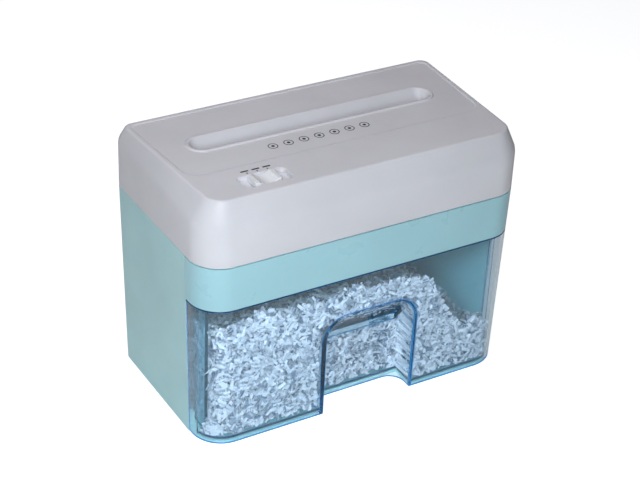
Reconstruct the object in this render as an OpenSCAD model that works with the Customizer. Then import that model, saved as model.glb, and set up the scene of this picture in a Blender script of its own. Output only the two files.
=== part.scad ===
// Small desktop paper shredder: a white top cover with a feed slot over a teal
// body, a clear pull-out bin with a finger scoop, and the cutting head inside.
// Millimetres. X runs across, -Y is the front, +Z is up, and z = 0 is the floor.

/* [Overall] */
// Width over the two sides
body_w = 310; // [300:1:375]
// Depth from the front face to the back face
body_d = 168; // [165:1:205]
// Height from the floor to the flat top
body_h = 236; // [230:1:290]

/* [Casing] */
// Height of the white top cover, measured at its rim
cover_h = 57.5; // [55:0.5:64]
// Height of the teal apron under the cover
apron_h = 41; // [34:0.5:44]
// Corner radius at the front, seen from above
front_r = 28; // [20:1:30]
// Corner radius at the back, seen from above
back_r = 12; // [8:1:16]
// Wall thickness of the casing mouldings
wall = 2.6; // [2:0.1:3]
// How much each side leans in between the cover and the floor
draft = 4.5; // [2:0.5:6]
// Distance from the front face back to the side seams
seam_d = 34; // [31:1:40]

/* [Top face] */
// Length of the feed slot's funnel
slot_len = 231; // [228:1:240]
// Front-to-back width of the funnel at the top
slot_w = 21; // [18:0.5:24]
// Front-to-back position of the line where the blades meet
nip_y = 12; // [8:0.5:16]
// Depth of the shallow recessed panel
panel_drop = 0.6; // [0.3:0.1:1.2]

/* [Mode switch] */
// Width of the pocket that the knob slides in
pocket_w = 43; // [40:1:50]
// Width of the sliding knob
knob_w = 24; // [18:1:26]
// Distance between two switch positions
switch_step = 9.2; // [7:0.1:9.4]

/* [Bin] */
// Width of the bin between the outer faces of its side walls
bin_w = 282; // [270:1:284]
// Width of the finger scoop
scoop_w = 88; // [70:1:110]
// Height of the finger scoop at the front face
scoop_h = 98; // [80:1:110]
// Depth of the finger scoop at the floor
scoop_d = 24; // [18:1:32]
// How far the bin pulls out
bin_travel = 150; // [80:5:150]

/* [Cutting head] */
// Width of paper that the blades cut
cut_len = 222; // [220:1:224]
// Number of cutting discs on each shaft
disc_n = 26; // [20:1:30]
// Radius to the tips of the disc hooks
disc_r = 16.5; // [15.5:0.1:16.8]
// Distance between the two cutter shafts
shaft_gap = 30; // [30:1.5:30]
// Radius of the motor can
motor_r = 22; // [18:0.5:22]
// Length of the motor can
motor_len = 74; // [60:1:80]

/* [Hidden] */
$fn = 48;

// Clearances and fits
run_fit = 0.05;
slide_fit = 0.3;
seam_gap = 0.4;
lip_gap = 0.9;

// Casing levels and edges
foot_h = 1.5;
cover_z = body_h - cover_h;
apron_z = cover_z - apron_h;
front_y = -body_d / 2;
back_y = body_d / 2;
seam_y = front_y + seam_d;
half_w = body_w / 2;
front_draft = 1.5;
back_draft = 1;

// Chamfers of the top cover: inset from the face, and height
cham_front = [7.5, 21];
cham_side_front = [11, 22];
cham_side_back = [4.5, 13];
cham_back = [8, 9];

// Half width, front and back of the body's outside at height z
function lean(z) = 1 - min(z, cover_z) / cover_z;
function out_x(z) = half_w - draft * lean(z);
function out_front(z) = front_y + front_draft * lean(z);
function out_back(z) = back_y - back_draft * lean(z);

// Feed funnel
slot_y = nip_y + 5.3;
throat_w = 6;
funnel_z = body_h - 20.5;
funnel_skin = 2.4;

// Head tray
tray_t = 3;
tray_z = apron_z + 4;
tray_bottom = tray_z - tray_t;
chute_x = cut_len / 2 + 1;
chute_y = [nip_y - 34, nip_y + 34];
post_r = 4.5;
// Cover posts: x, y and the height of their tops
post_at = [
    [-120, front_y + 8.5, body_h - 14], [120, front_y + 8.5, body_h - 14],
    [-138, back_y - 14, body_h - 1.5], [138, back_y - 14, body_h - 1.5],
];
ledge_y = [-20, back_y - 26];
ledge_in = bin_w / 2 + 1.5;
ledge_hole_x = ledge_in + 3.6;
apron_boss_x = 80;
apron_boss_y = out_front(tray_z) + wall + 5;

// Cutter shafts; points in the gear plane are [y, z]
shaft_z = tray_z + 30.5;
axis_a = [nip_y - shaft_gap / 2, shaft_z];
axis_b = [nip_y + shaft_gap / 2, shaft_z];
hex_r = 9;
journal_r = 6;
seat_r = 5.5;
bush_r = 9;
spacer_r = 12;
disc_pitch = cut_len / disc_n;
disc_t = disc_pitch / 2 - 0.2;
spacer_t = disc_pitch - disc_t - 0.02;

// Side plates
plate_t = 2;
plate_x = cut_len / 2 + 2;
plate_out = plate_x + plate_t;
rod_r = 2.2;
strip_y = disc_r + 0.8;
strip_t = 6.7;
rod_off = strip_y + strip_t / 2;
rod_at = [
    [axis_a[0] - rod_off, shaft_z - 9], [axis_a[0] - rod_off, shaft_z + 9],
    [axis_b[0] + rod_off, shaft_z - 9], [axis_b[0] + rod_off, shaft_z + 9],
];
plate_y = [axis_a[0] - rod_off - 6.5, axis_b[0] + rod_off + 6.5];
plate_top = shaft_z + 20;
tab_top = plate_top + 14;

// Gear train: module and teeth of each mesh, from the motor to the shaft
mesh1 = [0.8, 12, 45];
mesh2 = [1, 12, 42];
mesh3 = [1.5, 12, 36];
mesh_t = [1.5, 20, 20];
function centres(m) = m[0] * (m[1] + m[2]) / 2;
axis_2 = axis_a + centres(mesh3) * [cos(125), sin(125)];
axis_m = [axis_a[0] - 48, shaft_z - 4.5];
// The point forward and up from p and q, at distance a from p and b from q
function joined(p, a, q, b) =
    let (v = q - p, d = norm(v), u = v / d)
    let (s = (a * a - b * b + d * d) / (2 * d), h = sqrt(a * a - s * s))
    p + s * u + h * [-u[1], u[0]];
axis_1 = joined(axis_m, centres(mesh1), axis_2, centres(mesh2));
function bearing(p, q) = atan2(q[1] - p[1], q[0] - p[0]);
// Turn of gear 2 that puts its gap on a tooth of gear 1, which is turned by phi
function meshed(z1, phi, dir, z2) =
    dir + 180 - (0.5 - (dir - phi) * z1 / 360) * 360 / z2;
turn_final = 0;
turn_2s = meshed(mesh3[2], turn_final, bearing(axis_a, axis_2), mesh3[1]);
turn_2l = turn_2s;
turn_1s = meshed(mesh2[2], turn_2l, bearing(axis_2, axis_1), mesh2[1]);
turn_1l = turn_1s;
turn_m = meshed(mesh1[2], turn_1l, bearing(axis_1, axis_m), mesh1[1]);
turn_tb = meshed(mesh_t[1], 0, 0, mesh_t[2]);
layer1 = plate_out + 2.2;
layer2 = layer1 + 5.2;
layer3 = layer2 + 5.8;
axle_r = 3;
shaft_end = layer3 + 9.5;
cover_in = shaft_end + 0.6;
gcover_t = 1.5;
gcover_pts = [
    [axis_1[0] - 21.5, tray_z + 0.1], [axis_a[0] + 31, tray_z + 0.1],
    [axis_a[0] + 31, shaft_z + 31], [nip_y - 11, shaft_z + 31],
    [nip_y - 11, axis_2[1] + 25], [axis_1[0] - 21.5, axis_2[1] + 25],
];

// Motor
motor_front = plate_x - 0.1;
motor_back = motor_front - motor_len;
motor_shaft_r = 2.5;
motor_hole = 14;
armature_r = 14;

// Bin
bin_wall = 2.2;
clear_wall = 3;
bin_floor = foot_h + 5;
bin_top = apron_z - 5.5;
bin_back = back_y - 16;
scoop_x = 7;
scoop_skin = 2.6;
scoop_back_z = 62;

// Mode switch
pocket_at = [-86.5, front_y + 28];
pocket_d = 18;
pocket_floor = body_h - 4;

// Board
board_at = [-65, front_y + 33];
board_size = [100, 40, 1.6];
board_z = tray_z + 8;

// Inlet and interlock
inlet_at = [-118, cover_z - 18];
lock_at = [122, bin_top - 2];
lock_stroke = bin_travel * 0.02;

// ---- shared shapes ----

// Four-cornered outline in plan; front corners rf, back corners rb
module outline(hw, yf, yb, rf, rb) {
    for (s = [-1, 1]) {
        translate([s * (hw - rf), yf + rf]) circle(rf);
        translate([s * (hw - rb), yb - rb]) circle(rb);
    }
    translate([-hw + rf, yf]) square([2 * (hw - rf), rf]);
    translate([-hw + rb, yb - rb]) square([2 * (hw - rb), rb]);
    translate([-hw, yf + rf]) square([2 * hw, yb - rb - yf - rf]);
}

// Leaning block with the body's outside, inset all round, between two heights
module leaning(z0, z1, inset) {
    hull() for (z = [z0, z1 - 0.01]) {
        translate([0, 0, z]) linear_extrude(0.01) outline(out_x(z) - inset,
            out_front(z) + inset, out_back(z) - inset, front_r - inset,
            back_r - inset);
    }
}

// Rounded rectangle from its size and corner radius
module plate2d(w, d, r) {
    for (x = [-1, 1], y = [-1, 1]) {
        translate([x * (w / 2 - r), y * (d / 2 - r)]) circle(r);
    }
    square([w - 2 * r, d], center = true);
    square([w, d - 2 * r], center = true);
}

// Puts a shape drawn in [y, z] at the height x, with its depth along +X
module along_x(x, at = [0, 0]) {
    translate([x, at[0], at[1]]) rotate([90, 0, 90]) children();
}

module rod(x0, x1, at, r) {
    along_x(x0, at) cylinder(h = x1 - x0, r = r);
}

// Involute tooth flank: polar angle in degrees at radius r from base radius b
function inv(b, r) = let (c = b / r) (tan(acos(c)) - acos(c) * PI / 180) * 180 / PI;

// Involute spur gear outline, pressure angle 25 degrees, thinned for backlash
module gear2d(m, z) {
    rp = m * z / 2;
    rb = rp * cos(25);
    ra = rp + 0.92 * m;
    rf = rp - 1.2 * m;
    half = 90 / z - 0.06 * 180 / PI / z * 2 + inv(rb, rp);
    r0 = max(rb, rf) + 0.01;
    steps = 4;
    flank = [for (i = [0:steps]) let (r = r0 + (ra - r0) * i / steps)
        [r, half - inv(rb, r)]];
    polygon([for (t = [0:z - 1]) let (c = t * 360 / z) each concat(
        [rf * [cos(c - 180 / z), sin(c - 180 / z)]],
        [rf * [cos(c - half), sin(c - half)]],
        [for (p = flank) p[0] * [cos(c - p[1]), sin(c - p[1])]],
        [for (i = [steps:-1:0]) let (p = flank[i])
            p[0] * [cos(c + p[1]), sin(c + p[1])]],
        [rf * [cos(c + half), sin(c + half)]])]);
}

// Pan-head screw standing head up at the origin, shank down
module screw(r, len, head_r, head_h) {
    translate([0, 0, -len]) cylinder(h = len + 0.5, r = r);
    difference() {
        cylinder(h = head_h, r = head_r);
        for (a = [0, 90]) rotate(a)
            translate([-r * 0.9, -0.4, head_h - 0.9]) cube([r * 1.8, 0.8, 2]);
    }
}

// ---- casing ----

// Outside of the cover, inset all round, as one convex block from height z0
module cover_block(z0, inset) {
    side = [cham_side_front, cham_side_back];
    hull() {
        translate([0, 0, z0]) linear_extrude(0.01) outline(half_w - inset,
            front_y + inset, back_y - inset, front_r - inset, back_r - inset);
        for (s = [-1, 1]) {
            translate([s * (half_w - front_r), front_y + front_r, z0])
                cylinder(h = body_h - cham_front[1] - z0 - inset / 2,
                    r = front_r - inset);
            translate([s * (half_w - back_r), back_y - back_r, z0])
                cylinder(h = body_h - side[1][1] - z0 - inset / 2,
                    r = back_r - inset);
            translate([s * (half_w - side[0][0] - front_r * 0.6),
                    front_y + cham_front[0] + front_r * 0.6, body_h - inset - 0.01])
                cylinder(h = 0.01, r = front_r * 0.6 - inset);
            translate([s * (half_w - side[1][0] - back_r * 0.7),
                    back_y - cham_back[0] - back_r * 0.7, body_h - inset - 0.01])
                cylinder(h = 0.01, r = back_r * 0.7 - inset);
        }
    }
}

// Feed funnel grown by g: a stadium at the top and the narrow throat below
module funnel(g, z0, z1) {
    hull() {
        translate([0, slot_y, z1 - 0.01]) linear_extrude(0.01)
            plate2d(slot_len + 2 * g, slot_w + 2 * g, slot_w / 2 + g - 0.01);
        translate([0, nip_y, z0]) linear_extrude(0.01)
            plate2d(cut_len + 2 * g, throat_w + 2 * g, throat_w / 2 + g - 0.01);
    }
}

module top_cover() color("gainsboro") {
    difference() {
        union() {
            difference() {
                cover_block(cover_z, 0);
                cover_block(cover_z - 1, wall);
                translate([0, (front_y + back_y) / 2 + 20.5, body_h - panel_drop])
                    linear_extrude(5) plate2d(body_w - 18, 103, 15);
            }
            funnel(funnel_skin, funnel_z, body_h - 1);
            translate([0, slot_y, body_h - wall])
                linear_extrude(wall + 0.5) difference() {
                    plate2d(slot_len + 9, slot_w + 8, slot_w / 2 + 3.5);
                    plate2d(slot_len - 4, slot_w - 4, slot_w / 2 - 2.5);
                }
            translate([pocket_at[0], pocket_at[1], pocket_floor - 2])
                linear_extrude(5) plate2d(pocket_w + 4, pocket_d + 4, 5);
            for (p = post_at) hull() {
                translate([p[0], p[1], tray_z]) cylinder(h = 1, r = post_r);
                translate([p[0], p[1], p[2] - 1]) cylinder(h = 1, r = post_r);
            }
        }
        funnel(0, funnel_z - 0.01, body_h + 1.2);
        translate([pocket_at[0], pocket_at[1], pocket_floor])
            linear_extrude(9) plate2d(pocket_w, pocket_d, 3);
        translate([pocket_at[0], pocket_at[1], pocket_floor - 5])
            linear_extrude(9) square([2 * switch_step + 5, 4.4], center = true);
        for (p = post_at) translate([p[0], p[1], tray_z - 1])
            cylinder(h = 14, r = 1.4);
        for (s = [-1, 1], i = [-4:4]) translate([s * 78 + i * 8, back_y - wall - 2,
            cover_z + 12]) cube([3, wall + 4, 22]);
    }
}

module front_apron() color("paleturquoise") {
    difference() {
        leaning(apron_z, cover_z - lip_gap, 0);
        leaning(apron_z - 2, cover_z + 2, wall);
        translate([-body_w, seam_y, 0]) cube([2 * body_w, body_d, body_h]);
    }
    for (s = [-1, 1]) translate([s * apron_boss_x, apron_boss_y, tray_z]) difference() {
        translate([-5, -6, 0]) cube([10, 10, 12]);
        translate([0, 0, -1]) cylinder(h = 9, r = 1.4);
    }
}

module body_shell() color("lightseagreen") {
    difference() {
        leaning(foot_h, cover_z, 0);
        leaning(foot_h - 2, cover_z + 2, wall);
        translate([-body_w, front_y - 9, -1])
            cube([2 * body_w, seam_d + 9 + seam_gap, body_h]);
        translate([inlet_at[0], back_y, inlet_at[1]])
            cube([24, 4 * wall, 14], center = true);
    }
    for (s = [-1, 1], y = ledge_y) {
        x = out_x(tray_bottom - 10) - wall + 0.8;
        translate([s > 0 ? ledge_in : -x, y - 5, tray_bottom - 10]) difference() {
            cube([x - ledge_in, 10, 10]);
            translate([s > 0 ? ledge_hole_x - ledge_in : x - ledge_hole_x, 5, 2])
                cylinder(h = 9, r = 1.2);
        }
    }
    for (s = [-1, 1], y = [seam_y + 12, back_y - 26]) {
        x = out_x(foot_h) - wall + 0.8;
        translate([s > 0 ? ledge_in : -x, y - 6, foot_h + 2.5]) difference() {
            cube([x - ledge_in, 12, 12]);
            translate([s > 0 ? 2.6 : x - ledge_in - 2.6, 6, -1])
                cylinder(h = 9, r = 1.2);
        }
    }
}

module base_plate() color("cadetblue") {
    hw = out_x(foot_h) - wall - 0.9;
    yf = out_front(foot_h) + clear_wall + 0.6;
    yb = out_back(foot_h) - wall - 0.4;
    difference() {
        translate([0, 0, foot_h]) linear_extrude(2.5)
            outline(hw, yf, yb, front_r - 4, back_r - 3);
        translate([scoop_x - scoop_w / 2 - 4, front_y - 1, 0])
            cube([scoop_w + 8, scoop_d + 6, 9]);
        for (x = [-118, 118], y = [front_y + 22, back_y - 20])
            translate([x, y, -0.01]) cylinder(h = foot_h + 1, r = 8);
        for (s = [-1, 1], y = [seam_y + 12, back_y - 26])
            translate([s * (ledge_in + 2.6), y, 0]) {
                cylinder(h = 9, r = 1.5);
                translate([0, 0, foot_h - 0.1]) cylinder(h = 1.3, r = 2.9);
            }
    }
}

module rubber_feet() color("dimgray") {
    for (x = [-118, 118], y = [front_y + 22, back_y - 20])
        translate([x, y, 0]) cylinder(h = foot_h + 0.9, r = 7.9);
}

// ---- pull-out bin ----

// Finger scoop grown by g: arch at the front face, slanting in to its back wall
module scoop(g) {
    r = 20;
    hull() for (s = [-1, 1]) {
        x = scoop_x + s * (scoop_w / 2 + g);
        translate([x - s * 0.01, front_y - 2, -1])
            cube([0.02, 4, scoop_h - r], center = false);
        translate([x - s * (r + g), front_y - 2, scoop_h - r])
            rotate([-90, 0, 0]) cylinder(h = 4, r = r + g * 1.5);
        translate([x - s * (14 + g), front_y + scoop_d - 14, -1])
            cylinder(h = scoop_back_z + 1 + g * 1.2, r = 14 + g);
    }
}

module drawer_front() color("lightblue", 0.5) {
    top = apron_z - 0.8;
    difference() {
        union() {
            difference() {
                leaning(foot_h + 0.7, top, 0);
                leaning(0, top + 2, clear_wall);
                translate([-body_w, seam_y, -1]) cube([2 * body_w, body_d, body_h]);
            }
            intersection() {
                scoop(scoop_skin);
                translate([-half_w, out_front(foot_h) + 1.6, foot_h + 0.7])
                    cube([body_w, seam_d, body_h]);
            }
        }
        scoop(0);
    }
}

module drawer_bin() color("lightblue", 0.5) {
    hw = bin_w / 2;
    wing = out_x(bin_floor) - clear_wall - 0.8;
    flange_y = front_y + 22;
    floor_y = out_front(bin_floor) + clear_wall + 0.2;
    difference() {
        union() {
            translate([-hw, flange_y, bin_floor])
                cube([bin_w, bin_back - flange_y, bin_top - bin_floor]);
            translate([0, 0, bin_floor]) linear_extrude(bin_wall) difference() {
                outline(wing, floor_y, back_y, front_r - 4, 1);
                translate([-body_w, flange_y + bin_wall]) square([2 * body_w, body_d]);
            }
            for (s = [-1, 1]) translate([s > 0 ? hw - 1 : -wing, flange_y, bin_floor])
                cube([wing - hw + 1, bin_wall, bin_top - bin_floor]);
        }
        translate([-hw + bin_wall, flange_y - 30, bin_floor + bin_wall])
            cube([bin_w - 2 * bin_wall, bin_back - bin_wall - flange_y + 30, body_h]);
        translate([scoop_x - scoop_w / 2 - 3.2, front_y - 1, 0])
            cube([scoop_w + 6.4, scoop_d + 4.2, body_h]);
    }
}

module drawer_runners() color("darkslategray") {
    for (s = [-1, 1]) translate([s * 100 - 5, front_y + 34, foot_h + 2.5])
        cube([10, bin_back - front_y - 38, bin_floor - foot_h - 2.5 - 0.1]);
}

// ---- tray under the cutting head ----

module head_tray() color("silver") {
    difference() {
        union() {
            translate([0, 0, tray_bottom]) linear_extrude(tray_t)
                outline(out_x(tray_bottom) - wall - 0.4,
                    out_front(tray_bottom) + wall + 0.4,
                    out_back(tray_bottom) - wall - 0.4, front_r - 3, back_r - 3);
            for (x = [-1, 1], y = [-1, 1]) translate([board_at[0] + x * 44,
                board_at[1] + y * 15, tray_bottom])
                cylinder(h = board_z - tray_bottom, r = 3);
        }
        translate([-chute_x, chute_y[0], 0])
            cube([2 * chute_x, chute_y[1] - chute_y[0], body_h]);
        for (p = post_at) translate([p[0], p[1], 0]) cylinder(h = body_h, r = 2);
        for (s = [-1, 1], y = ledge_y) translate([s * ledge_hole_x, y, 0])
            cylinder(h = body_h, r = 1.7);
        for (s = [-1, 1]) translate([s * apron_boss_x, apron_boss_y, 0])
            cylinder(h = body_h, r = 2);
        for (p = plate_bolts) translate([p[0], p[1], 0])
            cylinder(h = body_h, r = 2.05);
    }
}

// Holes that hold the side plates' feet to the tray
plate_bolts = [
    [-plate_out - 6, plate_y[0] + 8], [-plate_out - 6, plate_y[1] - 8],
    [plate_x - 7, front_y + 20], [plate_x - 7, plate_y[1] - 4.5],
];

// ---- cutting head ----

module bores(x) {
    for (a = [axis_a, axis_b]) rod(x - 5, x + 5, a, bush_r);
    for (a = rod_at) rod(x - 5, x + 5, a, rod_r - 0.5 + run_fit);
}

module left_side_plate() color("lightgray") {
    difference() {
        union() {
            translate([-plate_out, plate_y[0], tray_z]) cube([plate_t,
                plate_y[1] - plate_y[0], plate_top - tray_z]);
            translate([-plate_out, nip_y - 12, tray_z])
                cube([plate_t, 24, tab_top - tray_z]);
            translate([-plate_out - 12, plate_y[0], tray_z])
                cube([12.5, plate_y[1] - plate_y[0], plate_t]);
        }
        bores(-plate_x);
        for (p = [plate_bolts[0], plate_bolts[1]])
            translate([p[0], p[1], tray_z - 1]) cylinder(h = 9, r = 2.05);
    }
}

module right_side_plate() color("lightgray") {
    difference() {
        union() {
            translate([plate_x, plate_y[0], tray_z]) cube([plate_t,
                plate_y[1] - plate_y[0], plate_top - tray_z]);
            translate([plate_x, nip_y - 12, tray_z])
                cube([plate_t, 24, tab_top - tray_z]);
            translate([plate_x, 0, 0]) rotate([90, 0, 90]) linear_extrude(plate_t)
                polygon(gcover_pts);
            translate([plate_x - 12, front_y + 13, tray_z])
                cube([12.5, 16, plate_t]);
            translate([plate_x, front_y + 13, tray_z]) cube([plate_t, 20, 24]);
            translate([plate_x - 12, chute_y[1] + 0.5, tray_z])
                cube([12.5, plate_y[1] - chute_y[1] - 0.5, plate_t]);
        }
        bores(plate_x);
        rod(plate_x - 1, plate_out + 1, axis_m, 8.1);
        for (a = [axis_1, axis_2]) rod(plate_x - 1, plate_out + 1, a, axle_r);
        for (s = [-1, 1]) rod(plate_x - 1, plate_out + 1, axis_m + [s * motor_hole, 0], 1.6);
        for (p = [plate_bolts[2], plate_bolts[3]])
            translate([p[0], p[1], tray_z - 1]) cylinder(h = 9, r = 2.05);
    }
}

module tie_rods() color("silver") {
    for (a = rod_at) {
        rod(-plate_x, plate_x, a, rod_r);
        rod(-plate_out - 5, plate_out + 1.9, a, rod_r - 0.5);
    }
}

module tie_rod_nuts() color("silver") {
    for (a = rod_at) {
        along_x(-plate_out - 3, a) linear_extrude(2.98) difference() {
            circle(3.9, $fn = 6);
            circle(rod_r - 0.5);
        }
        along_x(plate_out + 0.02, a) linear_extrude(1.9) difference() {
            circle(3.9, $fn = 6);
            circle(rod_r - 0.5);
        }
    }
}

// Hexagonal shaft with turned journals, hexagonal gear seats and clip grooves
module cutter_shaft(a, left, right, seats) {
    difference() {
        union() {
            along_x(-plate_x + 0.2, a) cylinder(h = 2 * plate_x - 0.4, r = hex_r, $fn = 6);
            rod(-plate_out - 1.8, plate_out + 1.8, a, journal_r);
            along_x(left, a) cylinder(h = -left, r = seat_r, $fn = 6);
            if (seats > 1) {
                rod(plate_out, layer3 - 0.1, a, journal_r);
                along_x(0, a) cylinder(h = right, r = seat_r, $fn = 6);
            }
        }
        for (x = [left + 1, seats > 1 ? right - 2.2 : right + 9]) difference() {
            rod(x, x + 1.2, a, 9);
            rod(x - 1, x + 3, a, 4.2);
        }
    }
}

timing_x = -plate_out - 10.5;
left_end = timing_x - 3;

module cutter_shaft_a() color("gray") cutter_shaft(axis_a, left_end, shaft_end, 2);
module cutter_shaft_b() color("gray") cutter_shaft(axis_b, left_end, plate_out, 1);

// One disc with three raking hooks, bored to slide on the hexagon
module disc(turn) {
    linear_extrude(disc_t, center = true) difference() {
        union() {
            circle(disc_r - 1.7);
            for (h = [0:2]) rotate(turn + h * 120) polygon([
                [disc_r * cos(0), disc_r * sin(0)],
                [(disc_r - 0.6) * cos(12), (disc_r - 0.6) * sin(12)],
                [(disc_r - 2.2) * cos(34), (disc_r - 2.2) * sin(34)],
                [0, 0],
                [(disc_r - 4) * cos(-4), (disc_r - 4) * sin(-4)],
            ]);
        }
        circle(hex_r + run_fit, $fn = 6);
    }
}

function disc_x(i, half) = -cut_len / 2 + (i + 0.25 + half / 2) * disc_pitch;

module cutter_discs_a() color("darkgray") {
    for (i = [0:disc_n - 1]) along_x(disc_x(i, 0), axis_a) disc(i * 25);
}

module cutter_discs_b() color("darkgray") {
    for (i = [0:disc_n - 1]) along_x(disc_x(i, 1), axis_b) mirror([1, 0, 0]) disc(i * 25);
}

module spacers(a, half) {
    for (i = [0:disc_n - 2]) along_x((disc_x(i, half) + disc_x(i + 1, half)) / 2, a)
        linear_extrude(spacer_t, center = true) difference() {
            circle(spacer_r);
            circle(hex_r + run_fit, $fn = 6);
        }
}

module disc_spacers_a() color("dimgray") spacers(axis_a, 0);
module disc_spacers_b() color("dimgray") spacers(axis_b, 1);

// Comb whose fingers stand in the gaps of one shaft, drawn for shaft A
module stripper(half) {
    y0 = -strip_y - strip_t;
    difference() {
        union() {
            translate([-plate_x + 0.2, y0, -14])
                cube([2 * plate_x - 0.4, strip_t, 28]);
            for (i = [0:disc_n - 2]) {
                x = (disc_x(i, half) + disc_x(i + 1, half)) / 2;
                translate([x - spacer_t / 2 + 0.3, y0 + 1, -13])
                    cube([spacer_t - 0.6, -y0 - 6, 26]);
            }
        }
        rod(-cut_len, cut_len, [0, 0], spacer_r + 0.6);
        for (z = [-9, 9]) rod(-cut_len, cut_len, [-rod_off, z], rod_r + run_fit);
    }
}

module front_stripper() color("black") {
    translate([0, axis_a[0], shaft_z]) stripper(0);
}

module rear_stripper() color("black") {
    translate([0, axis_b[0], shaft_z]) mirror([0, 1, 0]) stripper(1);
}

module bush(a, s) {
    translate([s * (plate_x - 0.05), 0, 0]) mirror([s < 0 ? 1 : 0, 0, 0])
        difference() {
            union() {
                rod(0, plate_t + 1.6, a, bush_r);
                rod(plate_t + 0.06, plate_t + 1.6, a, 11);
            }
            rod(-1, 9, a, journal_r + run_fit);
        }
}

module shaft_bushes() color("goldenrod") {
    for (a = [axis_a, axis_b], s = [-1, 1]) bush(a, s);
}

module timing_gear(a, turn) {
    along_x(timing_x, a) difference() {
        linear_extrude(8) difference() {
            rotate(turn) gear2d(mesh_t[0], mesh_t[1]);
            circle(seat_r + run_fit, $fn = 6);
        }
    }
}

module timing_gear_a() color("dimgray") timing_gear(axis_a, 0);
module timing_gear_b() color("dimgray") timing_gear(axis_b, turn_tb);

module final_gear() color("dimgray") {
    along_x(layer3, axis_a) linear_extrude(7) difference() {
        rotate(turn_final) gear2d(mesh3[0], mesh3[2]);
        circle(seat_r + run_fit, $fn = 6);
    }
}

module second_gear() color("ivory") {
    difference() {
        union() {
            along_x(layer2 + 0.3, axis_2) linear_extrude(4.5)
                rotate(turn_2l) gear2d(mesh2[0], mesh2[2]);
            along_x(layer2 + 4.6, axis_2) linear_extrude(9.5)
                rotate(turn_2s) gear2d(mesh3[0], mesh3[1]);
        }
        rod(0, body_w, axis_2, axle_r + run_fit);
    }
}

module first_gear() color("ivory") {
    difference() {
        union() {
            along_x(layer1, axis_1) linear_extrude(4)
                rotate(turn_1l) gear2d(mesh1[0], mesh1[2]);
            along_x(layer1 + 3.8, axis_1) linear_extrude(7)
                rotate(turn_1s) gear2d(mesh2[0], mesh2[1]);
        }
        rod(0, body_w, axis_1, axle_r + run_fit);
    }
}

module gear_axles() color("silver") {
    for (a = [axis_1, axis_2]) rod(plate_x, cover_in + 2, a, axle_r);
}

module shaft_clip(x, a) {
    along_x(x, a) linear_extrude(1) difference() {
        circle(7.4);
        circle(4.2 + run_fit);
        translate([0, -3]) square([12, 6]);
    }
}

module shaft_clips_a() color("silver") {
    shaft_clip(left_end + 1.1, axis_a);
    shaft_clip(shaft_end - 2.1, axis_a);
}

module shaft_clip_b() color("silver") shaft_clip(left_end + 1.1, axis_b);

module gear_cover() color("black") {
    x0 = plate_out + 0.05;
    difference() {
        along_x(x0) linear_extrude(cover_in + 2.2 - x0) polygon(gcover_pts);
        along_x(x0 - 1) linear_extrude(cover_in - x0 + 1) difference() {
            polygon(gcover_pts);
            for (i = [0:5]) {
                p = gcover_pts[i];
                q = gcover_pts[(i + 1) % 6];
                translate([min(p[0], q[0]) - gcover_t, min(p[1], q[1]) - gcover_t])
                    square([abs(p[0] - q[0]) + 2 * gcover_t,
                        abs(p[1] - q[1]) + 2 * gcover_t]);
            }
        }
        for (a = [axis_1, axis_2]) rod(0, body_w, a, axle_r + run_fit);
        for (a = [rod_at[0], rod_at[1]]) rod(0, layer1 + 1.5, a, 4.4);
        rod(0, plate_out + 2.6, axis_b, 11.6);
    }
}

// ---- motor ----

module motor_can() color("silver") {
    difference() {
        union() {
            rod(motor_back, motor_front, axis_m, motor_r);
            rod(motor_front, plate_out, axis_m, 8);
        }
        rod(motor_back + 2, motor_front - 2, axis_m, motor_r - 1.6);
        rod(0, body_w, axis_m, motor_shaft_r + run_fit);
        for (s = [-1, 1]) rod(motor_front - 9, motor_front + 1,
            axis_m + [s * motor_hole, 0], 1.5);
        for (i = [0:5]) rotate_about_motor(i * 60 + 30)
            translate([motor_back - 1, 9, -2]) cube([4, 8, 4]);
    }
}

// Turns a shape about the motor's axis, with [0, 0] put on that axis
module rotate_about_motor(a) {
    translate([0, axis_m[0], axis_m[1]]) rotate([a, 0, 0]) children();
}

module motor_stator() color("peru") {
    difference() {
        rod(motor_back + 16, motor_front - 14, axis_m, motor_r - 1.65);
        rod(0, body_w, axis_m, armature_r + 0.6);
    }
}

module motor_rotor() color("gray") {
    rod(motor_back - 12, layer1 + 4.6, axis_m, motor_shaft_r);
    rod(motor_back + 17, motor_front - 15, axis_m, armature_r);
    rod(motor_back + 7, motor_back + 15, axis_m, 8);
}

module motor_pinion() color("goldenrod") {
    along_x(layer1 - 0.9, axis_m) linear_extrude(5.4) difference() {
        rotate(turn_m) gear2d(mesh1[0], mesh1[1]);
        circle(motor_shaft_r);
    }
}

module motor_fan() color("black") {
    difference() {
        union() {
            rod(motor_back - 12, motor_back - 3, axis_m, 6);
            for (i = [0:6]) rotate_about_motor(i * 360 / 7)
                translate([motor_back - 10.5, 4, -0.75]) rotate([0, 35, 0])
                    cube([1.5, 13, 8]);
        }
        rod(0, body_w, axis_m, motor_shaft_r);
    }
}

module motor_screws() color("silver") {
    for (s = [-1, 1])
        translate([plate_out + 0.02, axis_m[0] + s * motor_hole, axis_m[1]])
            rotate([0, 90, 0]) screw(1.5, 9, 2.8, 1.6);
}

// ---- feed guide, sensors, switch and board ----

module feed_guide() color("dimgray") {
    z0 = shaft_z + disc_r + 1.5;
    h = funnel_z - 0.2 - z0;
    difference() {
        translate([-plate_x + 0.1, nip_y - throat_w / 2 - 2, z0])
            cube([2 * plate_x - 0.2, throat_w + 4, h]);
        translate([-cut_len / 2, nip_y - throat_w / 2, z0 - 1])
            cube([cut_len, throat_w, h + 2]);
        translate([0, nip_y + 9, shaft_z + 34]) rotate([90, 0, 0])
            cylinder(h = 18, r = 1.6);
    }
}

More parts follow.
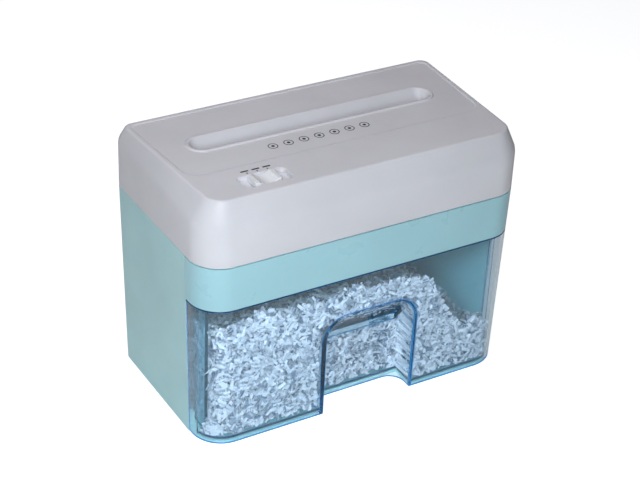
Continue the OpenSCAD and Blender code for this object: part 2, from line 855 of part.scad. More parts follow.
module sensor_block(s) {
    translate([-6, s > 0 ? nip_y + throat_w / 2 + 2.05 : nip_y - throat_w / 2 - 8.05,
        shaft_z + 30]) difference() {
            cube([12, 6, 8]);
            translate([6, s > 0 ? -1 : 3, 4]) rotate([-90, 0, 0])
                cylinder(h = 4, r = 1.6);
        }
}

module sensor_emitter() color("black") sensor_block(-1);
module sensor_receiver() color("black") sensor_block(1);

module switch_knob() color("white") {
    translate([pocket_at[0], pocket_at[1], pocket_floor + 0.3]) difference() {
        union() {
            linear_extrude(5.2) plate2d(knob_w, pocket_d - 1.4, 2);
            translate([-2, -1.9, -6]) cube([4, 3.8, 7]);
        }
        translate([0, 12, 14]) rotate([90, 0, 0]) cylinder(h = 24, r = 12);
    }
}

module mode_switch() color("black") {
    translate([pocket_at[0], pocket_at[1], pocket_floor - 14]) difference() {
        translate([-17, -7, 0]) cube([34, 14, 11.8]);
        translate([-switch_step - 2.6, -2.3, 7.5])
            cube([2 * switch_step + 5.2, 4.6, 9]);
    }
}

module control_board() color("darkgreen") {
    difference() {
        translate([board_at[0], board_at[1], board_z + 0.02]) linear_extrude(1.6)
            plate2d(board_size[0], board_size[1], 2);
        for (x = [-1, 1], y = [-1, 1]) translate([board_at[0] + x * 44,
            board_at[1] + y * 15, 0]) cylinder(h = body_h, r = 1.4);
    }
}

board_top = board_z + 1.64;

module drive_relay() color("royalblue") {
    translate([board_at[0] - 34, board_at[1] - 8, board_top]) cube([20, 16, 15]);
}

module filter_capacitor() color("gold") {
    translate([board_at[0] - 6, board_at[1] - 12, board_top]) cube([18, 8, 14]);
}

module terminal_block() color("limegreen") {
    translate([board_at[0] + 18, board_at[1] + 2, board_top]) difference() {
        cube([20, 8, 10]);
        for (i = [0:3]) translate([2.5 + i * 5, 4, 4]) cylinder(h = 9, r = 1.6);
    }
}

module interlock_switch() color("black") {
    translate([lock_at[0] - 10, bin_back + 3.4, lock_at[1] - 6]) difference() {
        cube([20, 9, tray_bottom - lock_at[1] + 6 - 0.02]);
        translate([10, -1, 3]) rotate([-90, 0, 0]) cylinder(h = 9, r = 2 + run_fit);
    }
}

module interlock_plunger() color("red") {
    translate([lock_at[0], bin_back + 0.2, lock_at[1] - 3]) rotate([-90, 0, 0])
        cylinder(h = 9, r = 2);
}

module power_inlet() color("black") {
    y1 = out_back(inlet_at[1]) - 0.3;
    difference() {
        union() {
            translate([inlet_at[0] - 11.8, y1 - 22, inlet_at[1] - 6.8])
                cube([23.6, 22, 13.6]);
            translate([inlet_at[0] - 15, y1 - wall - 2.4, inlet_at[1] - 10])
                cube([30, 2, 20]);
        }
        for (x = [-4.2, 4.2]) translate([inlet_at[0] + x, y1 - 14, inlet_at[1]])
            rotate([-90, 0, 0]) cylinder(h = 20, r = 4.2);
        translate([inlet_at[0] - 4.2, y1 - 14, inlet_at[1] - 3.4])
            cube([8.4, 20, 6.8]);
    }
}

module inlet_pins() color("goldenrod") {
    for (x = [-4.3, 4.3]) translate([inlet_at[0] + x,
        out_back(inlet_at[1]) - 14.3, inlet_at[1]]) rotate([-90, 0, 0])
            cylinder(h = 10, r = 1.2);
}

// ---- screws ----

module cover_screws() color("silver") {
    for (p = post_at) translate([p[0], p[1], tray_bottom - 0.02])
        rotate([180, 0, 0]) screw(1.4, tray_t + 10, 3.6, 2.2);
    for (s = [-1, 1]) translate([s * apron_boss_x, apron_boss_y, tray_bottom - 0.02])
        rotate([180, 0, 0]) screw(1.4, tray_t + 6, 3.6, 2.2);
}

module tray_screws() color("silver") {
    for (s = [-1, 1], y = ledge_y) translate([s * ledge_hole_x, y, tray_z + 0.02])
        screw(1.2, tray_t + 7, 2.7, 2);
    for (x = [-1, 1], y = [-1, 1]) translate([board_at[0] + x * 44,
        board_at[1] + y * 15, board_z + 1.64]) screw(1.3, 1.6, 2.5, 1.6);
}

module plate_screws() color("silver") {
    for (p = plate_bolts) translate([p[0], p[1], tray_z + plate_t + 0.02])
        screw(2, 4.8, 3.8, 2.4);
}

module base_screws() color("silver") {
    for (s = [-1, 1], y = [seam_y + 12, back_y - 26])
        translate([s * (ledge_in + 2.6), y, foot_h + 1.18]) rotate([180, 0, 0])
            screw(1.2, 8, 2.7, 1.1);
}

top_cover();
front_apron();
body_shell();
base_plate();
rubber_feet();
drawer_front();
drawer_bin();
drawer_runners();
head_tray();
feed_guide();
switch_knob();
mode_switch();
left_side_plate();
right_side_plate();
tie_rods();
tie_rod_nuts();
cutter_shaft_a();
cutter_shaft_b();
cutter_discs_a();
cutter_discs_b();
disc_spacers_a();
disc_spacers_b();
front_stripper();
rear_stripper();
shaft_bushes();
timing_gear_a();
timing_gear_b();
final_gear();
second_gear();
first_gear();
gear_axles();
shaft_clips_a();
shaft_clip_b();
motor_can();
motor_stator();
motor_rotor();
motor_pinion();
motor_fan();
motor_screws();
gear_cover();
control_board();
drive_relay();
filter_capacitor();
terminal_block();
sensor_emitter();
sensor_receiver();
interlock_switch();
interlock_plunger();
power_inlet();
inlet_pins();
cover_screws();
tray_screws();
plate_screws();
base_screws();
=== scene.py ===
import math
import bpy
import bmesh
import numpy as np
from mathutils import Matrix, Vector


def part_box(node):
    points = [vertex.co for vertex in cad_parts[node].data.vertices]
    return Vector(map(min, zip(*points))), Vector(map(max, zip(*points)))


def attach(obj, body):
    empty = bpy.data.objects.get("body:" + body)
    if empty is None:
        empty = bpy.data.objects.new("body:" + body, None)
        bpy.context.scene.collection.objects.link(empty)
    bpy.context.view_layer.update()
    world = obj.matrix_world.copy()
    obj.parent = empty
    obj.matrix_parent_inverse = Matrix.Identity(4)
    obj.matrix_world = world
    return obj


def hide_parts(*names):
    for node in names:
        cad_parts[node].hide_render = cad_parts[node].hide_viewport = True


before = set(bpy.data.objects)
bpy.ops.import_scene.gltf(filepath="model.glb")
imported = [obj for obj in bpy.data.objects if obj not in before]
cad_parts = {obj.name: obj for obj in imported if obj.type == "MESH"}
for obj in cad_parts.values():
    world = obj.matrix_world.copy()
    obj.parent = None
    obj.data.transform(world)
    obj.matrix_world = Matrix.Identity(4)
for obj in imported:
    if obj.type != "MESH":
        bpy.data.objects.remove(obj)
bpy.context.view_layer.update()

# ---- Room ----
# A pale seamless floor under soft studio light, which comes from beside and above the
# viewer, with a weak fill from overhead. The camera stands in front and to the left.
camera_data = bpy.data.cameras.new("camera")
camera_data.lens = 96.8
camera_data.clip_end = 20
camera = bpy.data.objects.new("camera", camera_data)
camera_place = Vector((-0.6719, -1.1003, 0.9048))
look_down = 31.2
turn = Matrix.Rotation(math.radians(-31.49), 3, "Z")
tip = Matrix.Rotation(math.radians(90 - look_down), 3, "X")
roll = Matrix.Rotation(math.radians(2.66), 3, "Z")
camera.matrix_world = Matrix.LocRotScale(
    camera_place, (turn @ tip @ roll).to_quaternion(), None)
bpy.context.scene.collection.objects.link(camera)
bpy.context.scene.camera = camera
bpy.context.scene.view_settings.view_transform = "Standard"
bpy.context.scene.cycles.use_denoising = True
bpy.context.scene.cycles.transparent_max_bounces = 24
bpy.context.scene.cycles.max_bounces = 16
bpy.context.scene.cycles.transmission_bounces = 14


def softbox(name, place, aim, size, watts, colour):
    """Round studio lamp at a place, turned to its aim."""
    lamp = bpy.data.lights.new(name, "AREA")
    lamp.shape = "DISK"
    lamp.size = size
    lamp.energy = watts
    lamp.color = colour
    stand = bpy.data.objects.new(name, lamp)
    stand.location = place
    stand.rotation_euler = (Vector(aim) - Vector(place)).to_track_quat("-Z", "Y").to_euler()
    bpy.context.scene.collection.objects.link(stand)


def new_material(name):
    """Empty material: itself, its node tree and its shader."""
    material = bpy.data.materials.new(name)
    material.use_nodes = True
    tree = material.node_tree
    return material, tree, tree.nodes["Principled BSDF"]


def remap(tree, value, target, to, source=(0, 1)):
    """Feeds a socket with a value, stretched from the source range to another."""
    node = tree.nodes.new("ShaderNodeMapRange")
    node.inputs["From Min"].default_value = source[0]
    node.inputs["From Max"].default_value = source[1]
    node.inputs["To Min"].default_value = to[0]
    node.inputs["To Max"].default_value = to[1]
    tree.links.new(value, node.inputs[0])
    tree.links.new(node.outputs[0], target)


softbox("near_lamp", (-0.38, -0.56, 0.5), (-0.05, -0.05, 0.14), 0.3, 2.3, (0.87, 0.94, 1))
softbox("main_lamp", (-0.71, -1.28, 1.26), (0, 0, 0.12), 0.45, 7.9, (0.9, 0.94, 1))
softbox("top_lamp", (0, 0.4, 1.4), (0, 0, 0.2), 0.9, 4.8, (1, 0.95, 0.98))
softbox("side_lamp", (-0.75, 0.1, 1.2), (0, 0, 0.2), 0.6, 1.3, (1, 0.97, 0.99))

world = bpy.data.worlds.new("room")
world.use_nodes = True
sky = world.node_tree
# The world looks white to the camera but lights the object only faintly.
backdrop = sky.nodes["Background"]
backdrop.inputs["Color"].default_value = (1, 1, 1, 1)
backdrop.inputs["Strength"].default_value = 0.03
seen = sky.nodes.new("ShaderNodeBackground")
seen.inputs["Strength"].default_value = 1
ray = sky.nodes.new("ShaderNodeLightPath")
either = sky.nodes.new("ShaderNodeMixShader")
sky.links.new(ray.outputs["Is Camera Ray"], either.inputs[0])
sky.links.new(backdrop.outputs[0], either.inputs[1])
sky.links.new(seen.outputs[0], either.inputs[2])
sky.links.new(either.outputs[0], sky.nodes["World Output"].inputs["Surface"])
bpy.context.scene.world = world

floor_mesh = bpy.data.meshes.new("floor")
floor_mesh.from_pydata([(-6, -6, 0), (6, -6, 0), (6, 6, 0), (-6, 6, 0)], [], [(0, 1, 2, 3)])
floor = bpy.data.objects.new("floor", floor_mesh)
floor_paint, floor_tree, floor_shader = new_material("floor_paint")
floor_shader.inputs["Roughness"].default_value = 0.9
floor_shader.inputs["Emission Color"].default_value = (0.98, 0.99, 1, 1)
speckle = floor_tree.nodes.new("ShaderNodeTexNoise")
speckle.inputs["Scale"].default_value = 30
remap(floor_tree, speckle.outputs["Fac"], floor_shader.inputs["Base Color"], (0.9, 0.95))
# Seen by the camera, the floor is lifted to white and still shows a faint shadow.
seen_floor = floor_tree.nodes.new("ShaderNodeLightPath")
remap(floor_tree, seen_floor.outputs["Is Camera Ray"],
    floor_shader.inputs["Emission Strength"], (0.12, 0.75))
floor_mesh.materials.append(floor_paint)
bpy.context.scene.collection.objects.link(floor)

# ---- Top cover ----
# One white injection moulding: a rim, chamfers up to the flat top, a shallow panel
# round the paper slot, and a pocket for the mode knob. Vents are cut in its back.
MM = 0.001
cover_low, cover_high = (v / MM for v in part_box("top_cover"))
rim_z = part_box("body_shell")[1].z / MM
lip_rise = 0.5
top_z = cover_high.z - lip_rise
half_w = cover_high.x
front_y, back_y = cover_low.y, cover_high.y
cover_wall = 2.6
slot_y = 17.3
pocket_x, pocket_y = -86.5, front_y + 28


class Skin:
    """Collects rings of points in millimetres and joins them to one closed mesh."""

    def __init__(self, name):
        self.name = name
        self.bm = bmesh.new()

    def ring(self, points):
        return [self.bm.verts.new(Vector(p) * MM) for p in points]

    def bridge(self, rings, closed=True):
        for a, b in zip(rings, rings[1:]):
            for i in range(len(a) if closed else len(a) - 1):
                j = (i + 1) % len(a)
                self.bm.faces.new((a[i], a[j], b[j], b[i]))

    def fill(self, *rings):
        edges = []
        for ring in rings:
            for a, b in zip(ring, ring[1:] + ring[:1]):
                edges.append(self.bm.edges.get((a, b)) or self.bm.edges.new((a, b)))
        bmesh.ops.triangle_fill(self.bm, use_beauty=True, edges=edges)

    def done(self, material, sharp=35):
        bmesh.ops.recalc_face_normals(self.bm, faces=self.bm.faces)
        mesh = bpy.data.meshes.new(self.name)
        self.bm.to_mesh(mesh)
        self.bm.free()
        mesh.materials.append(material)
        mesh.polygons.foreach_set("use_smooth", [True] * len(mesh.polygons))
        mesh.set_sharp_from_angle(angle=math.radians(sharp))
        piece = bpy.data.objects.new(self.name, mesh)
        bpy.context.scene.collection.objects.link(piece)
        return piece


def around(corners, arcs=12, straights=10):
    """Loop round four corners (x, y, z, radius), front left first, anticlockwise."""
    points = []
    for k in range(4):
        x, y, z, r = corners[k]
        for i in range(arcs + 1):
            a = math.radians(180 + 90 * (k + i / arcs))
            points.append((x + r * math.cos(a), y + r * math.sin(a), z))
        u, v, w, s = corners[(k + 1) % 4]
        a = math.radians(270 + 90 * k)
        p = np.array(points[-1])
        q = np.array((u + s * math.cos(a), v + s * math.sin(a), w))
        points += [tuple(p + (q - p) * i / straights) for i in range(1, straights)]
    return np.array(points)


def frame_loop(x, y, width, depth, z, radius, arcs=10, straights=4):
    """Loop of a rounded rectangle about x, y."""
    u, v = width / 2 - radius, depth / 2 - radius
    return around([(x - u, y - v, z, radius), (x + u, y - v, z, radius),
        (x + u, y + v, z, radius), (x - u, y + v, z, radius)], arcs, straights)


def four(front, back, z_front, z_back, inset=0):
    """Loop round the cover: (side inset, face inset, radius) at the front and back."""
    (fx, fy, fr), (bx, by, br) = front, back
    fr, br = fr - inset, br - inset
    x, y = half_w - fx - inset - fr, front_y + fy + inset + fr
    u, v = half_w - bx - inset - br, back_y - by - inset - br
    return around([(-x, y, z_front, fr), (x, y, z_front, fr), (u, v, z_back, br),
        (-u, v, z_back, br)])


def fillet(before, corner, after, reach, steps=5):
    """Rings of the rounded edge at corner, which starts and ends at that reach."""
    def stepped(to):
        away = to - corner
        return corner + away / np.linalg.norm(away, axis=1)[:, None] * reach
    a, b = stepped(before), stepped(after)
    return [(1 - t) ** 2 * a + 2 * t * (1 - t) * corner + t * t * b
        for t in np.linspace(0, 1, steps)]


def noise(tree, scale, detail=2, vector=None):
    """Noise of that scale over the object, or along the vector given."""
    node = tree.nodes.new("ShaderNodeTexNoise")
    node.inputs["Scale"].default_value = scale
    node.inputs["Detail"].default_value = detail
    if vector is None:
        vector = tree.nodes.new("ShaderNodeTexCoord").outputs["Object"]
    tree.links.new(vector, node.inputs["Vector"])
    return node.outputs["Fac"]


def bump(tree, height, shader, strength, distance):
    """Raises the surface by a height map, to a distance in millimetres."""
    node = tree.nodes.new("ShaderNodeBump")
    node.inputs["Strength"].default_value = strength
    node.inputs["Distance"].default_value = distance * MM
    tree.links.new(height, node.inputs["Height"])
    tree.links.new(node.outputs[0], shader.inputs["Normal"])


def two_tone(tree, value, dark, light, first, last):
    """Colour that goes from dark to light as the value goes from first to last."""
    ramp = tree.nodes.new("ShaderNodeValToRGB")
    ramp.color_ramp.elements[0].position = first
    ramp.color_ramp.elements[1].position = last
    ramp.color_ramp.elements[0].color = (*dark, 1)
    ramp.color_ramp.elements[1].color = (*light, 1)
    tree.links.new(value, ramp.inputs[0])
    return ramp.outputs[0]


def moulding(name, colour, rough=0.36, grain=2400, depth=0.012, drift=0.03, **sockets):
    """Moulded plastic: spark-eroded grain, slow flow marks and rubbed patches."""
    material, tree, shader = new_material(name)
    dark = [c * (1 - drift) for c in colour]
    light = [min(c * (1 + drift), 1) for c in colour]
    flow = two_tone(tree, noise(tree, 14, 4), dark, light, 0.35, 0.65)
    tree.links.new(flow, shader.inputs["Base Color"])
    remap(tree, noise(tree, 45, 6), shader.inputs["Roughness"],
        (rough - 0.05, rough + 0.07), (0.3, 0.7))
    bump(tree, noise(tree, grain), shader, 0.35, depth)
    for socket, value in sockets.items():
        shader.inputs[socket.replace("_", " ")].default_value = value
    return material


cover_white = moulding("cover_white", (0.74, 0.735, 0.765), rough=0.4,
    Subsurface_Weight=0.08, Subsurface_Scale=0.002)

wall_foot = ((0, 0, 28), (0, 0, 12))
top_edge = ((11, 7.5, 16.8), (4.5, 8, 8.4))
rim = four(*wall_foot, rim_z, rim_z)
shoulder = four(*wall_foot, top_z - 21, top_z - 13)
crown = four(*top_edge, top_z, top_z)
crown_in = four(*top_edge, top_z, top_z, 2.2)

# From inside the top, down the inner wall, round the rim and up to the flat top.
cover = Skin("cover")
outer = [cover.ring(p) for p in [
    four(*top_edge, top_z - cover_wall, top_z - cover_wall, 4),
    four(*top_edge, top_z - cover_wall, top_z - cover_wall, 3),
    four(*wall_foot, top_z - 22.5, top_z - 14.5, cover_wall),
    four(*wall_foot, rim_z + 0.3, rim_z + 0.3, cover_wall),
    four(*wall_foot, rim_z, rim_z, cover_wall - 0.3),
    four(*wall_foot, rim_z, rim_z, 0.6),
    four(*wall_foot, rim_z + 0.2, rim_z + 0.2, 0.2),
    four(*wall_foot, rim_z + 0.7, rim_z + 0.7),
    *fillet(rim, shoulder, crown, 4.5, 7),
    *fillet(shoulder, crown, crown_in, 2, 6),
    crown_in,
]]
cover.bridge(outer)

panel_drop = 0.6
panel_shape = [(13.2, 53, 15), (8.2, 12.5, 7)]
panel = [cover.ring(four(*panel_shape, top_z - z, top_z - z, inset)) for inset, z in
    [(-0.6, 0), (0, 0), (0.2, 0.06), (0.8, panel_drop - 0.06), (1, panel_drop),
        (1.6, panel_drop)]]
cover.bridge(panel)

lip_z = top_z + lip_rise
throat_y, throat_z = 12, top_z - 20.5
# Loops from the panel over the lip and down the funnel: width, depth, y, height.
slot_rings = [(241, 30, slot_y, top_z - panel_drop),
    (240, 29, slot_y, top_z - panel_drop), (239.4, 28.4, slot_y, top_z - 0.2),
    (238.4, 27.4, slot_y, lip_z - 0.12), (237.4, 26.6, slot_y, lip_z),
    (234, 23.6, slot_y, lip_z), (232.6, 22.4, slot_y, lip_z - 0.3),
    (231, 21, slot_y, lip_z - 1.2), (222.6, 7, throat_y + 0.3, throat_z + 1.5),
    (222, 6, throat_y, throat_z), (226, 10, throat_y, throat_z),
    (235.8, 25.8, slot_y, top_z - cover_wall)]
slot = [cover.ring(frame_loop(0, y, w, d, z, d / 2 - 0.01, 14, 24))
    for w, d, y, z in slot_rings]
cover.bridge(slot)

# Loops of the pocket and of the stem's slot under it: width, depth, height, radius.
pocket_rings = [(44.8, 19.8, top_z, 3.9), (43.8, 18.8, top_z, 3.4),
    (43.3, 18.3, top_z - 0.15, 3.2), (43, 18, top_z - 0.6, 3),
    (43, 18, top_z - 3.6, 3), (42.4, 17.4, top_z - 4, 2.7), (41.6, 16.6, top_z - 4, 2.3)]
pocket = [cover.ring(frame_loop(pocket_x, pocket_y, w, d, z, r))
    for w, d, z, r in pocket_rings]
cover.bridge(pocket)
stem_rings = [(23.4, 4.4, top_z - 4, 0.5), (23.4, 4.4, top_z - 6, 0.5),
    (47, 22, top_z - 6, 5), (47, 22, top_z - cover_wall, 5)]
stem = [cover.ring(frame_loop(pocket_x, pocket_y, w, d, z, r))
    for w, d, z, r in stem_rings]
cover.bridge(stem)
cover.fill(outer[-1], panel[0], pocket[0])
cover.fill(panel[-1], slot[0])
cover.fill(pocket[-1], stem[0])
cover.fill(outer[0], slot[-1], stem[-1])
cover_piece = cover.done(cover_white, 32)

vents = Skin("vents")
vent_x, vent_step, vent_w, vent_h = 78, 8, 3, 22
for side in (-vent_x, vent_x):
    for i in range(-4, 5):
        loops = [vents.ring(np.array([(x, y, z) for x, z, y in frame_loop(
            side + vent_step * i, rim_z + 23, vent_w, vent_h, back_y + y, 1.4, 6, 2)]))
            for y in (-cover_wall - 2, 2)]
        vents.bridge(loops)
        for loop in loops:
            vents.fill(loop)
cutter = vents.done(cover_white)
cut = cover_piece.modifiers.new("vents", "BOOLEAN")
cut.operation = "DIFFERENCE"
cut.solver = "EXACT"
cut.object = cutter
bpy.context.view_layer.update()
cut_mesh = bpy.data.meshes.new_from_object(
    cover_piece.evaluated_get(bpy.context.evaluated_depsgraph_get()))
cover_piece.modifiers.clear()
cover_piece.data = cut_mesh
bpy.data.objects.remove(cutter)
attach(cover_piece, "machine")
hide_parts("top_cover")

# ---- Printed marks ----
# Thin black ink on the cover: a row of plain rings beside the slot, and a short bar
# and a dot for each of the three knob positions. They carry no words or symbols.
ink = moulding("black_ink", (0.03, 0.03, 0.035), rough=0.5, drift=0.2)
marks = Skin("printed_marks")
ink_t = 0.06


def ring_mark(x, y, z, radius, width):
    """Printed ring of that line width."""
    loops = [marks.ring([(x + r * math.cos(a), y + r * math.sin(a), z + h)
        for a in np.linspace(0, 2 * math.pi, 32, endpoint=False)])
        for r, h in [(radius, 0), (radius, ink_t), (radius - width, ink_t),
            (radius - width, 0)]]
    marks.bridge(loops + loops[:1])


def solid_mark(x, y, z, width, depth, radius):
    """Printed bar or dot with round ends."""
    loops = [marks.ring(frame_loop(x, y, width, depth, z + h, radius, 6, 2))
        for h in (0, ink_t)]
    marks.bridge(loops)
    for loop in loops:
        marks.fill(loop)


row_start, row_step, row_y = -54.5, 14.7, -11.5
for i in range(7):
    x = row_start + row_step * i
    ring_mark(x, row_y, top_z - panel_drop, 4.4, 0.75)
    solid_mark(x, row_y, top_z - panel_drop, 3, 3, 1.4)
bar_y, dot_y = -40.2, -43.6
for i in (-1, 0, 1):
    solid_mark(pocket_x + 10 * i, bar_y, top_z, 7, 1.8, 0.4)
    solid_mark(pocket_x + 9.2 * i, dot_y, top_z, 1.5, 1.5, 0.74)
marks_piece = marks.done(ink)
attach(marks_piece, "machine")

# ---- Mode knob ----
# A small slider with a finger dish, moulded in a whiter and glossier plastic than the
# cover. Its stem passes through the pocket's floor to the switch underneath.


def finish(node, material, edge=0.0, facets=2.0, edge_material=None):
    """Gives a CAD node its material and welds it; with an edge width it also merges its
    flat facets and rounds its edges, otherwise it splits its shading at sharp edges.
    """
    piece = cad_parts[node]
    piece.data.materials.clear()
    piece.data.materials.append(material)
    piece.data.polygons.foreach_set("use_smooth", [True] * len(piece.data.polygons))
    if "custom_normal" in piece.data.attributes:
        piece.data.attributes.remove(piece.data.attributes["custom_normal"])
    weld = piece.modifiers.new("weld", "WELD")
    weld.merge_threshold = 0.000002
    if edge:
        flat = piece.modifiers.new("flat", "DECIMATE")
        flat.decimate_type = "DISSOLVE"
        flat.angle_limit = math.radians(facets)
        soft = piece.modifiers.new("soft_edges", "BEVEL")
        soft.width = edge * MM
        soft.segments = 2
        soft.limit_method = "ANGLE"
        soft.angle_limit = math.radians(32)
        soft.use_clamp_overlap = True
        soft.harden_normals = True
        if edge_material:
            piece.data.materials.append(edge_material)
            soft.material = 1
    else:
        split = piece.modifiers.new("split", "EDGE_SPLIT")
        split.split_angle = math.radians(34)
    return piece


knob_white = moulding("knob_white", (0.88, 0.89, 0.91), rough=0.3, drift=0.02)
finish("switch_knob", knob_white, 0.5)

# ---- Teal casing ----
# The body, its front apron and the base are mouldings in one pale teal plastic, a little
# translucent. The body and the base take a lighter copy of the teal than the apron: painted
# light, for the light on the body's sides. The apron and the body meet at a seam on each
# side.
# Painted light: the body's teal is lighter than the apron's, for the light on its sides.
body_teal = moulding("body_teal", (0.47, 0.76, 0.78), rough=0.38, drift=0.04,
    Subsurface_Weight=0.15, Subsurface_Scale=0.002)
apron_teal = moulding("apron_teal", (0.4, 0.69, 0.75), rough=0.3, drift=0.02,
    Subsurface_Weight=0.15, Subsurface_Scale=0.002)
finish("front_apron", apron_teal, 0.8)
finish("body_shell", body_teal, 0.5)
finish("base_plate", body_teal, 0.3)
rubber = moulding("foot_rubber", (0.05, 0.05, 0.052), rough=0.75, grain=900, depth=0.06)
finish("rubber_feet", rubber, 0.4)

# ---- Clear bin ----
# The bin and its front are clear styrene mouldings with a faint blue tint. The front's
# rounded edges and the edges round its finger scoop are painted an opaque blue with a
# painted glow, standing in for light carried along the sheet. The front edge of the bin's
# floor is painted dark blue as painted shade.


def clear_plastic(name, tint, density, glow, haze_share, rough=0.03):
    """Tinted clear sheet with faint scuffs and haze, which lets the lamps through."""
    material, tree, shader = new_material(name)
    shader.inputs["Base Color"].default_value = (0.97, 0.99, 1, 1)
    shader.inputs["Transmission Weight"].default_value = 1
    shader.inputs["IOR"].default_value = 1.5
    scuffs = noise(tree, 60, 8)
    remap(tree, scuffs, shader.inputs["Roughness"], (rough, rough + 0.02), (0.35, 0.75))
    bump(tree, scuffs, shader, 0.15, 0.05)
    milky = tree.nodes.new("ShaderNodeBsdfDiffuse")
    milky.inputs["Color"].default_value = (*glow, 1)
    body = tree.nodes.new("ShaderNodeMixShader")
    body.inputs[0].default_value = haze_share
    tree.links.new(shader.outputs[0], body.inputs[1])
    tree.links.new(milky.outputs[0], body.inputs[2])
    lamp_way = tree.nodes.new("ShaderNodeBsdfTransparent")
    lamp_way.inputs["Color"].default_value = (0.9, 0.96, 0.98, 1)
    ray = tree.nodes.new("ShaderNodeLightPath")
    either = tree.nodes.new("ShaderNodeMixShader")
    out = tree.nodes["Material Output"]
    tree.links.new(ray.outputs["Is Shadow Ray"], either.inputs[0])
    tree.links.new(body.outputs[0], either.inputs[1])
    tree.links.new(lamp_way.outputs[0], either.inputs[2])
    tree.links.new(either.outputs[0], out.inputs["Surface"])
    inside = tree.nodes.new("ShaderNodeVolumeAbsorption")
    inside.inputs["Color"].default_value = (*tint, 1)
    inside.inputs["Density"].default_value = density
    tree.links.new(inside.outputs[0], out.inputs["Volume"])
    return material


clear_front = clear_plastic("clear_front", (0.1, 0.6, 0.8), 30, (0.1, 0.45, 0.7), 0.03, 0)
clear_bin = clear_plastic("clear_bin", (0.1, 0.6, 0.75), 30, (0.1, 0.45, 0.6), 0.06)
# Painted glow: the front's rounded edges get an opaque blue with emission, standing in for
# light carried along the clear sheet.
painted_edge_glow = moulding("clear_painted_edge_glow", (0.012, 0.1, 0.25), rough=0.15, drift=0.25,
    Emission_Color=(0.015, 0.2, 0.5, 1))
# The painted glow in the edges stops where the apron covers them.
edge_tree = painted_edge_glow.node_tree
edge_place = edge_tree.nodes.new("ShaderNodeTexCoord")
edge_height = edge_tree.nodes.new("ShaderNodeSeparateXYZ")
edge_tree.links.new(edge_place.outputs["Object"], edge_height.inputs[0])
edge_glow = edge_tree.nodes["Principled BSDF"].inputs["Emission Strength"]
remap(edge_tree, edge_height.outputs["Z"], edge_glow, (0.6, 0), (0.132, 0.135))
# Painted shade: the bin floor's front edge is painted an opaque dark blue, standing in for
# the dark line the clear sheet shows there.
painted_edge_shade = moulding("clear_painted_edge_shade", (0.008, 0.05, 0.13), rough=0.15, drift=0.25)
finish("drawer_front", clear_front, 1.3, 2, painted_edge_glow)
bin_piece = finish("drawer_bin", clear_bin)
bin_piece.data.materials.append(painted_edge_shade)
bin_floor_edge = 2.3
seen_y = -0.05
rim_top = min(v.co.z for v in bin_piece.data.vertices) + bin_floor_edge * MM
for face in bin_piece.data.polygons:
    upright = abs(face.normal.z) < 0.3
    if upright and face.center.z < rim_top and face.center.y < seen_y:
        face.material_index = 1
runner_grey = moulding("runner_grey", (0.12, 0.13, 0.14), rough=0.5)
finish("drawer_runners", runner_grey, 0.3)

# ---- Shredded paper ----
# Cross-cut office paper, about 3 by 8 mm, that has dropped from the cutters. It lies
# highest at the left and slopes down to the right, pressed against the clear front.
rng = np.random.default_rng(7)
bin_low, bin_high = (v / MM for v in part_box("drawer_bin"))
side_x = 138.4
bin_floor = 2.4
floor_z = bin_low.z + bin_floor
bin_skin, bin_wall, paper_gap = 3.4, 2.6, 0.8
side_lean, front_lean, corner_r = 4.5, 1.5, 24.6
wing_end = -63
scoop_depth = 24
scoop_x, scoop_half = 7, 44 + bin_wall + paper_gap
scoop_back = front_y + scoop_depth + bin_wall + paper_gap


def heap_top(x, y):
    """Height of the heap over the point x, y."""
    level = 120 - 14 * np.clip((y + 78) / 30, 0, 1)
    slope = np.interp(x, [20, 60, 80, 95, 138], [0, 6, 34, 58, 76])
    bumps = (2.5 * np.sin(x / 13 + y / 21) + 2 * np.sin(x / 7 - y / 9 + 1)
        + 1.2 * np.sin(x / 3.7 + y / 4.3))
    return level - slope + bumps


def scoop_top(y):
    """Height of the finger scoop's ceiling, which slants down to its back wall."""
    return np.interp(y, [front_y, front_y + scoop_depth], [98, 62]) + 5


def kept_inside(p):
    """Moves points inside the bin, its rounded front corners and off the scoop."""
    x, y, z = p.T.copy()
    z = np.maximum(z, floor_z + 0.1)
    lean = 1 - np.clip(z, 0, rim_z) / rim_z
    wing = half_w - side_lean * lean - bin_skin
    front = front_y + front_lean * lean + bin_skin
    limit = np.where(y < wing_end, wing, side_x)
    x = np.clip(x, -limit, limit)
    y = np.clip(y, front, bin_high.y - bin_wall)
    cx, cy = wing - corner_r, front + corner_r
    u, v = np.abs(x) - cx, cy - y
    far = np.hypot(u, v)
    out = (u > 0) & (v > 0) & (far > corner_r)
    x = np.where(out, np.sign(x) * (cx + u / far * corner_r), x)
    y = np.where(out, cy - v / far * corner_r, y)
    near = (np.abs(x - scoop_x) < scoop_half) & (y < scoop_back) & (z < scoop_top(y))
    y = np.where(near, scoop_back, y)
    return np.stack([x, y, z], 1)


